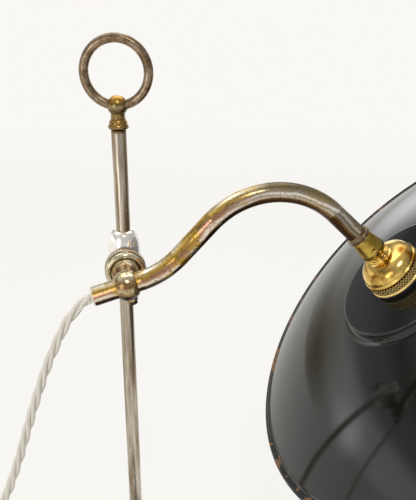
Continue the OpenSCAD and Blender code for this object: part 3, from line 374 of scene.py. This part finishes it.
FINISHES = {
    # Pressed wool felt: matt, with a soft bloom at its edge
    "felt": smooth_finish("green_felt", "#3c4a38", "#2c3829", 0.95, 3.0, Sheen_Weight=0.4),
    # Cast iron as it left the sand: dull grey and grainy
    "cast_weight": smooth_finish("cast_iron", "#3a3835", "#4a4641", 0.75, 5.0, Metallic=0.6),
    # Spun brass gone brown: broad cloudy patches, with a soft shine where cloths have kept it clean
    "aged_brass": worn_plate("browned_brass", "#8d7a60", "#5f4a34", "#2a2018", 12, (0.4, 0.65),
                             (0.22, 0.45)),
    # Spun and lacquered brass: sharp golden reflections with brown in their dark parts
    "bright_brass": polished_brass("lacquered_brass", "#e9c66e", "#8c5c16", 0.15),
    # Zinc-plated steel: pale grey and satin, a little uneven
    "zinc_steel": worn_plate("zinc_plate", "#c3c3bf", "#9c9a94", "#6b6862", 6, rough=(0.3, 0.5)),
    # Drawn and plated steel: long upright streaks, pale where the plate is sound, brown where it has gone
    "stem_steel": worn_plate("drawn_steel", "#cfc6b6", "#85745c", "#4a3826", 5, (0.40, 0.62), (0.18, 0.34),
                             (1, 1, 0.07), (0.2, 0.34)),
    # Turned brass with its plate rubbed off: orange-gold above and brown below, painted light and shade by
    # which way it faces
    "finial_brass": worn_plate("finial_plate_painted_light", "#a8967a", "#8a6a36", "#33271a", 6, (0.5, 0.66), (0.2, 0.36),
                               painted_light_bands=FINIAL_PAINTED_LIGHT),
    # Bent and plated wire: dull grey-brown with small darker patches
    "ring_brass": worn_plate("ring_plate", "#96826b", "#6c563b", "#2e2219", 5, (0.4, 0.62), (0.2, 0.4)),
    # Turned and nickelled brass that rubs on the stem: nearly white, with a warm cast
    "bush_brass": worn_plate("nickelled_bush", "#efe9dc", "#d9ccae", "#8a7a5c", 8, (0.55, 0.75),
                             (0.12, 0.25), pits=(0.2, 0.3)),
    # Polished nickel, hardly worn: the brightest metal on the lamp, near-white and partly matt as a painted
    # reflection of a bright room, with clear dark reflections
    "bright_nickel": worn_plate("bright_nickel_plate_painted_reflection", "#faf7f0", "#f0e8d6", "#d8cba8", 14, (0.6, 0.8),
                                (0.1, 0.18), pits=(0.2, 0.3), metallic=0.6),
    # Vulcanised fibre: matt brick red
    "fibre": smooth_finish("vulcanised_fibre", "#7a3a2a", "#5f2c20", 0.7),
    # Worn nickel on the swivel: cream and brown bands and nearly black below, painted light and shade by
    # which way it faces, with painted shade in its neck
    "worn_nickel": worn_plate("worn_swivel_plate_painted_light", "#cdbd9f", "#a9853f", "#3a2a1a", 6, (0.5, 0.66),
                              (0.12, 0.28), painted_light_bands=SWIVEL_PAINTED_LIGHT, grooves=NECK_PAINTED_SHADE),
    # Oil-blackened steel: dark brown with a low shine
    "dark_steel": worn_plate("blackened_steel", "#4b3a2c", "#2b2119", "#15100c", 4, rough=(0.3, 0.5)),
    # Worn nickel on the bent tube, with brass showing through: long pale, pink and golden bands along it and
    # nearly black below, painted highlights and shade by which way it faces
    "arm_nickel": worn_plate("worn_arm_plate_painted_light", "#bdb091", "#b8902f", "#4a3520", 12, (0.5, 0.62),
                             (0.14, 0.24), painted_light_bands=ARM_NEAR_PAINTED_LIGHT, far_painted_light_bands=ARM_FAR_PAINTED_LIGHT, scratches=0.02),
    # Moulded rubber: cream, half matt
    "ivory_rubber": smooth_finish("pale_rubber", "#f3eee2", "#e6e0cf", 0.5),
    "cord_cotton": braided_cotton_painted_shade(),
    # Cut rubber sheet: black and half matt
    "black_rubber": smooth_finish("gasket_rubber", "#151413", "#0d0c0c", 0.55),
    "shade_enamel": vitreous_enamel(),
    # Glazed porcelain: cream under a clear, glassy coat
    "porcelain": smooth_finish("glazed_porcelain", "#f1ece0", "#e8e1d2", 0.15, Coat_Weight=0.5),
    # Pressed tinplate: pale grey with a soft shine
    "bulb_metal": worn_plate("bulb_tinplate", "#cfcdc7", "#b5b1a8", "#8b877e", 5, rough=(0.2, 0.35)),
    # Blown opal glass: milky, with light inside it and a sharp gloss
    "opal_glass": smooth_finish("opal_glass_bulb", "#fbf8f0", "#f4efe4", 0.18, 20, Subsurface_Weight=0.1,
                                Coat_Weight=0.4),
    # Moulded urea: yellowed ivory with a soft gloss
    "ivory_plastic": smooth_finish("ivory_urea_plastic", "#ece3cb", "#e3d8bb", 0.3, Coat_Weight=0.2),
    # Moulded phenolic: brown-black with a soft gloss
    "black_plastic": smooth_finish("black_phenolic", "#201e1c", "#171513", 0.28, Coat_Weight=0.2),
    # Punched brass: plain yellow with a satin shine
    "contact_brass": polished_brass("punched_brass", "#cfa75a", "#b38a3f", 0.28),
    # Fired ceramic tube: matt off-white
    "fuse_ceramic": smooth_finish("fuse_tube_ceramic", "#ddd7ca", "#cfc8b8", 0.4),
}

# Pieces with a finish of their own
FINISH_OF = {
    "upper_shade_ring": knurled_brass_painted_light(),
    # Brass a little greener and browner than the cap beside it, and rougher
    "cord_grip": polished_brass("greener_brass", "#c4a84f", "#8d7129", 0.2),
    # Worn nickel on the knurled nut: cream, with pink-brown patches, and painted shade dark in its two
    # grooves
    "swivel_nut": worn_plate("worn_nut_plate_groove_shade", "#d0c6a6", "#b58a68", "#4a3824", 9, (0.44, 0.6), (0.15, 0.3),
                             grooves=NUT_GROOVE_SHADE, metallic=0.75),
}


# ---- Pieces over the solids ----

# Broken edges in millimetres. Other pieces keep the edges of their solids.
EDGES = {
    "stem_socket": 0.2, "stem": 0.25, "slider_block": 0.2, "swivel_spindle": 0.3,
    "arm_tube": 0.25, "arm_lock_screw": 0.2, "arm_grommet": 0.25, "grip_screw": 0.15,
    "switch_cover": 0.3, "switch_base": 0.2, "switch_rocker": 0.4,
    "plug_cover": 0.3, "plug_carrier": 0.6, "plug_pins": 0.4,
}
# Faces that meet at more than this stay sharp, or get a broken edge
EDGE_ANGLE = math.radians(32)
FLAT_ANGLE = math.radians(0.5)


def skin(node):
    """A smooth copy of a solid with its doubles merged, its flats joined and its edges broken."""
    mesh = NODES[node].data.copy()
    edge_mm = EDGES.get(node)
    form = bmesh.new()
    form.from_mesh(mesh)
    bmesh.ops.remove_doubles(form, verts=form.verts, dist=1e-6)
    if edge_mm:
        bmesh.ops.dissolve_limit(form, angle_limit=FLAT_ANGLE, verts=form.verts, edges=form.edges)
    form.to_mesh(mesh)
    form.free()
    mesh.materials.clear()
    piece = bpy.data.objects.new(node + "_skin", mesh)
    bpy.context.scene.collection.objects.link(piece)
    for thing in bpy.context.selected_objects:
        thing.select_set(False)
    piece.select_set(True)
    bpy.context.view_layer.objects.active = piece
    if edge_mm:
        bevel = piece.modifiers.new("edge", "BEVEL")
        bevel.width = edge_mm / 1000
        bevel.segments = 2
        bevel.limit_method = "ANGLE"
        bevel.angle_limit = EDGE_ANGLE
        bevel.use_clamp_overlap = True
        bpy.ops.object.modifier_apply(modifier="edge")
    bpy.ops.object.shade_smooth_by_angle(angle=EDGE_ANGLE)
    piece.data.materials.append(FINISH_OF.get(node) or FINISHES[SLOT_OF[node]])
    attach(piece, BODY_OF[node])
    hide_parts(node)
    return piece


# ---- Cord ----

def mm(points):
    """Points in millimetres as vectors in metres."""
    return [Vector(point) / 1000 for point in points]


def line_length(line):
    return sum((q - p).length for p, q in zip(line, line[1:]))


def round_line(points, step=0.002, parts=24):
    """A smooth line through given points, with a point every step. Each span is first cut into
    parts."""
    points = [2 * points[0] - points[1]] + list(points) + [2 * points[-1] - points[-2]]
    dense = []
    for a, b, c, d in zip(points, points[1:], points[2:], points[3:]):
        for i in range(parts):
            t = i / parts
            dense.append(0.5 * (2 * b + (c - a) * t + (2 * a - 5 * b + 4 * c - d) * t ** 2
                                + (3 * b - a - 3 * c + d) * t ** 3))
    dense.append(points[-2])
    total = line_length(dense)
    count = round(total / step)
    line, walked, index = [dense[0]], 0.0, 0
    for k in range(1, count):
        goal = total * k / count
        while walked + (dense[index + 1] - dense[index]).length < goal:
            walked += (dense[index + 1] - dense[index]).length
            index += 1
        span = dense[index + 1] - dense[index]
        line.append(dense[index] + span * ((goal - walked) / span.length))
    return line + [dense[-1]]


# The flex: three cores, the radius of each, how far it lies from the flex's middle, and the length of a lay
CORES = 3
CORE_RADIUS = 0.00155
CORE_OFFSET = 0.00185
LAY_LENGTH = 0.0435


def way_at(line, i):
    """The direction of a line at one of its points."""
    return (line[min(i + 1, len(line) - 1)] - line[max(i - 1, 0)]).normalized()


def square_to(ahead, way):
    """A direction turned square to the one ahead."""
    return (way - ahead * way.dot(ahead)).normalized()


def add_core(form, uv, line, core, sides):
    """One core of the flex, laid up left-handed round the line. Its UV map runs round it and along it."""
    side, walked, centres, outs, lengths = Vector((0, 1, 0)), 0.0, [], [], []
    for i, point in enumerate(line):
        ahead = way_at(line, i)
        side = square_to(ahead, side)
        walked += (point - line[max(i - 1, 0)]).length
        turn = -2 * math.pi * (walked / LAY_LENGTH + core / CORES)
        out = math.cos(turn) * side + math.sin(turn) * ahead.cross(side)
        centres.append(point + out * CORE_OFFSET)
        outs.append(out)
        lengths.append(walked)
    rings = []
    turns = [2 * math.pi * k / sides for k in range(sides)]
    for i, centre in enumerate(centres):
        lean = way_at(centres, i)
        out = square_to(lean, outs[i])
        over = lean.cross(out)
        rings.append([form.verts.new(centre + CORE_RADIUS * (math.cos(turn) * out + math.sin(turn) * over))
                      for turn in turns])
    for i in range(len(rings) - 1):
        for k in range(sides):
            n = (k + 1) % sides
            face = form.faces.new((rings[i][k], rings[i][n], rings[i + 1][n], rings[i + 1][k]))
            corners = ((k, i), (k + 1, i), (k + 1, i + 1), (k, i + 1))
            for loop, (round_it, along) in zip(face.loops, corners):
                loop[uv].uv = (round_it / sides, lengths[along])
    form.faces.new(rings[0][::-1])
    form.faces.new(rings[-1])


def twisted_flex(name, line, sides):
    """Three braided cores laid up round the line, as one piece."""
    form = bmesh.new()
    uv = form.loops.layers.uv.new("UVMap")
    for core in range(CORES):
        add_core(form, uv, line, core, sides)
    mesh = bpy.data.meshes.new(name)
    form.to_mesh(mesh)
    form.free()
    mesh.materials.append(FINISHES["cord_cotton"])
    for face in mesh.polygons:
        face.use_smooth = True
    flex = bpy.data.objects.new(name, mesh)
    bpy.context.scene.collection.objects.link(flex)
    return flex


# The routes are in millimetres
CORD_EXIT = (-22.772, -45, 318.755)
DROP_ROUTE = [
    (-28.8, -45, 315), (-34.4, -45, 309.3), (-39.9, -45, 302), (-44.6, -45, 293.6), (-48.8, -45, 285),
    (-53.2, -45, 275.5), (-57.6, -45, 265), (-62, -45, 253), (-67, -45, 239), (-72, -45, 224),
    (-77, -45, 209), (-82, -45, 194), (-88, -45, 178), (-95, -45, 161), (-102, -45, 144), (-110, -45, 125),
    (-118, -45, 106), (-126, -45, 87), (-134, -45, 68), (-142, -45, 50), (-151, -45, 33),
    (-162, -45, 18), (-175, -45.5, 8), (-190, -47, 4), (-205, -52, 3.5), (-216.6, -62, 3.5),
    (-222.4, -76, 3.5), (-221.4, -91, 3.5), (-213, -104, 4), (-198, -112.5, 5.5), (-185, -115, 7),
]
SWITCH_IN = (-181, -115, 7)
SWITCH_OUT = (-119, -115, 7)
TAIL_ROUTE = [(-112, -115, 5.8), (-106, -115, 4.2), (-98, -115, 3.5), (-86, -115, 3.5)]
LEAD_ROUTE = [(-60, -115, 10.3), (-49, -115, 10.2), (-40, -115.3, 10.1), (-31, -116.5, 9.6),
              (-23, -118, 9.2)]
PLUG_IN = (-14, -119, 9)
# The coil's centre line: its radius and its height against the turns wound, inwards on the table and then
# outwards on top
COIL_MIDDLE = (-75, -160.8)
COIL_RADIUS = [(0, 45.8), (0.6, 45.8), (1.0, 39), (1.6, 39), (2.0, 32.2), (3.0, 32.2), (3.25, 39),
               (4.0, 39), (4.25, 45.8), (5, 45.8)]
COIL_HEIGHT = [(0, 3.5), (2.25, 3.5), (2.75, 10.3), (5, 10.3)]
COIL_START = 90


def eased(stations, at):
    """The value between two stations, with a smooth start and end."""
    for (a, low), (b, high) in zip(stations, stations[1:]):
        if at <= b:
            return low + (high - low) * (1 - math.cos(math.pi * (at - a) / (b - a))) / 2
    return stations[-1][1]


def coil_points(turns=5, steps=32):
    """The coil's centre line, wound clockwise from its back."""
    points = []
    for k in range(turns * steps + 1):
        radius = eased(COIL_RADIUS, k / steps)
        angle = math.radians(COIL_START - 360 * k / steps)
        points.append((COIL_MIDDLE[0] + radius * math.cos(angle), COIL_MIDDLE[1] + radius * math.sin(angle),
                       eased(COIL_HEIGHT, k / steps)))
    return points


# What lies on the cord is made first
switch = [skin(node) for node in NODES if node.startswith("switch_")]
plug = [skin(node) for node in ("plug_cover", "plug_carrier", "plug_pins", "plug_fuse")]

drop_line = round_line(mm([CORD_EXIT] + DROP_ROUTE + [SWITCH_IN]))
flex_drop = twisted_flex("flex_drop", drop_line, sides=10)
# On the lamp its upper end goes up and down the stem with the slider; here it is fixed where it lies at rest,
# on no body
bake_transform(flex_drop)
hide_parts("cord_drop")
lead_line = round_line(mm([SWITCH_OUT] + TAIL_ROUTE + coil_points() + LEAD_ROUTE + [PLUG_IN]), 0.0025)
flex_lead = twisted_flex("flex_lead", lead_line, sides=8)
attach(flex_lead, "stand")
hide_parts("cord_tail", "cord_coil", "plug_lead")


# ---- Metalwork, shade and bulb ----

for node in NODES:
    if not node.startswith(("cord_drop", "cord_tail", "cord_coil", "switch_", "plug_")):
        skin(node)


# ---- Floor, light and surroundings ----

def lay_floor():
    """A pale floor with no edge in sight: it takes shadows near the lamp and turns into the background far
    off."""
    bpy.ops.mesh.primitive_circle_add(vertices=64, radius=45, fill_type="NGON", location=(0, 0, -0.0003))
    floor = bpy.context.object
    floor.name = "floor"
    material, add = start_material("pale_floor")
    matt = add("BsdfPrincipled", {"Base Color": "#fbf9f4", "Roughness": 0.9, "Specular IOR Level": 0.1})
    place = add("TexCoord").outputs["Object"]
    away = add("VectorMath", {0: place}, operation="LENGTH").outputs["Value"]
    fade = add("MapRange", {"Value": away, "From Min": 0.4, "From Max": 2.2, "To Min": 0.75,
                            "To Max": 1.0}).outputs["Result"]
    rays = add("LightPath").outputs
    seen = add("Math", {0: rays["Is Camera Ray"], 1: rays["Is Glossy Ray"]}, operation="ADD").outputs[0]
    seen = add("Math", {0: seen, 1: rays["Is Transmission Ray"]}, operation="ADD",
               use_clamp=True).outputs[0]
    share = add("Math", {0: fade, 1: seen}, operation="MULTIPLY").outputs[0]
    pale = add("Emission", {"Color": BACKGROUND})
    mixed = add("MixShader", {0: share, 1: matt.outputs[0], 2: pale.outputs[0]})
    add("OutputMaterial", {"Surface": mixed.outputs[0]})
    floor.data.materials.append(material)


def hang_card(name, middle, reach, strength=0.0, tint="#ffffff"):
    """A soft-edged card far behind, for enamel and metal to mirror: a glow, or a tinted veil over what is
    behind it. The camera doesn't see it."""
    bpy.ops.mesh.primitive_plane_add(size=3.2, location=middle, rotation=(math.radians(90), 0, 0))
    card = bpy.context.object
    card.name = name
    bpy.ops.object.transform_apply(location=True, rotation=True, scale=True)
    material, add = start_material(name.replace("card", "light"))
    place = add("TexCoord").outputs["Object"]
    spread = add("Mapping", {"Vector": place, "Location": middle, "Scale": (reach[0], 1, reach[1])},
                 vector_type="TEXTURE").outputs[0]
    away = add("VectorMath", {0: spread}, operation="LENGTH").outputs["Value"]
    full = add("MapRange", {"Value": away, "To Min": 1.0, "To Max": 0.0},
               interpolation_type="SMOOTHSTEP").outputs["Result"]
    power = add("Math", {0: full, 1: strength}, operation="MULTIPLY").outputs[0]
    light = add("Emission", {"Strength": power})
    veil = add("Mix", {"Factor": full, "A": "#ffffff", "B": tint}, data_type="RGBA").outputs["Result"]
    clear = add("BsdfTransparent", {"Color": veil})
    both = add("AddShader", {0: light.outputs[0], 1: clear.outputs[0]})
    add("OutputMaterial", {"Surface": both.outputs[0]})
    card.data.materials.append(material)
    card.visible_camera = False


LAMPS_AIM = Vector((0.08, 0, 0.28))


def hang_lamp(name, place, size, power):
    """A soft oval light that is aimed at the middle of the lamp."""
    data = bpy.data.lights.new(name, "AREA")
    data.shape = "ELLIPSE"
    data.size, data.size_y = size
    data.energy = power
    lamp = bpy.data.objects.new(name, data)
    bpy.context.scene.collection.objects.link(lamp)
    lamp.location = place
    lamp.rotation_euler = (LAMPS_AIM - Vector(place)).to_track_quat("-Z", "Y").to_euler()


# The room's grey levels behind and in front, against the height that a ray goes to, from level to straight
# up. They are half of the radiance.
ROOM_BEHIND = [(0.0, 0.75), (0.17, 0.62), (0.23, 0.24), (0.33, 0.2), (0.39, 0.08), (0.52, 0.32), (0.7, 0.5),
               (0.85, 0.36), (1.0, 0.25)]
ROOM_IN_FRONT = [(0.0, 0.3), (0.3, 0.2), (0.8, 0.24), (1.0, 0.25)]
BACK_LEFT = (-0.5, 0.87, 0)


def set_world():
    """Pale to the camera. To the object it is a soft room: a bright band low down behind and at the sides,
    dimmer overhead and in front, so that polished metal and enamel have something to show."""
    world = bpy.data.worlds.new("studio")
    bpy.context.scene.world = world
    world.use_nodes = True
    world.node_tree.nodes.clear()
    add = partial(add_node, world.node_tree)
    way = add("TexCoord").outputs["Generated"]
    height = add("SeparateXYZ", {"Vector": way}).outputs["Z"]
    aside = add("VectorMath", {0: way, 1: BACK_LEFT}, operation="DOT_PRODUCT").outputs["Value"]
    behind = add("MapRange", {"Value": aside, "From Min": -0.1, "From Max": 0.35},
                 interpolation_type="SMOOTHSTEP").outputs["Result"]
    back = add("ValToRGB", {"Fac": height}, ROOM_BEHIND).outputs[0]
    front = add("ValToRGB", {"Fac": height}, ROOM_IN_FRONT).outputs[0]
    level = add("Mix", {"Factor": behind, "A": front, "B": back}, data_type="RGBA").outputs["Result"]
    light = add("VectorMath", {0: level, "Scale": 2.0}, operation="SCALE").outputs[0]
    # The camera sees the background. So do mirrored rays that go low behind, so that no line shows in metal
    # and enamel where the floor ends.
    rays = add("LightPath").outputs
    mirrored = add("Math", {0: rays["Is Glossy Ray"], 1: rays["Is Transmission Ray"]}, operation="ADD",
                   use_clamp=True).outputs[0]
    low = add("ValToRGB", {"Fac": height}, [(0.0, 1.0), (0.06, 0.0)]).outputs[0]
    there = add("Math", {0: behind, 1: low}, operation="MULTIPLY").outputs[0]
    seen = add("Math", {0: mirrored, 1: there, 2: rays["Is Camera Ray"]}, operation="MULTIPLY_ADD",
               use_clamp=True).outputs[0]
    tone = add("Mix", {"Factor": seen, "A": light, "B": BACKGROUND}, data_type="RGBA").outputs["Result"]
    ground = add("Background", {"Color": tone})
    add("OutputWorld", {"Surface": ground.outputs[0]})


lay_floor()
hang_card("glow_card", (0.30, 2.3, 0.95), (0.85, 0.65), strength=2.2)
hang_card("veil_card", (-1.05, 2.2, 0.25), (1.5, 0.8), tint="#a0977e")
hang_card("window_card", (-3.6, 2.3, 0.5), (1.5, 0.6), strength=1.2)
hang_lamp("key_light", (0.02, -0.85, 1.4), (0.32, 0.32), 4.0)
hang_lamp("overhead_light", (0.0, 0.5, 1.5), (1.7, 1.1), 7.0)
hang_lamp("front_light", (-1.1, -1.25, 0.6), (0.8, 0.9), 4.5)
set_world()

bpy.context.scene.view_settings.view_transform = "Standard"
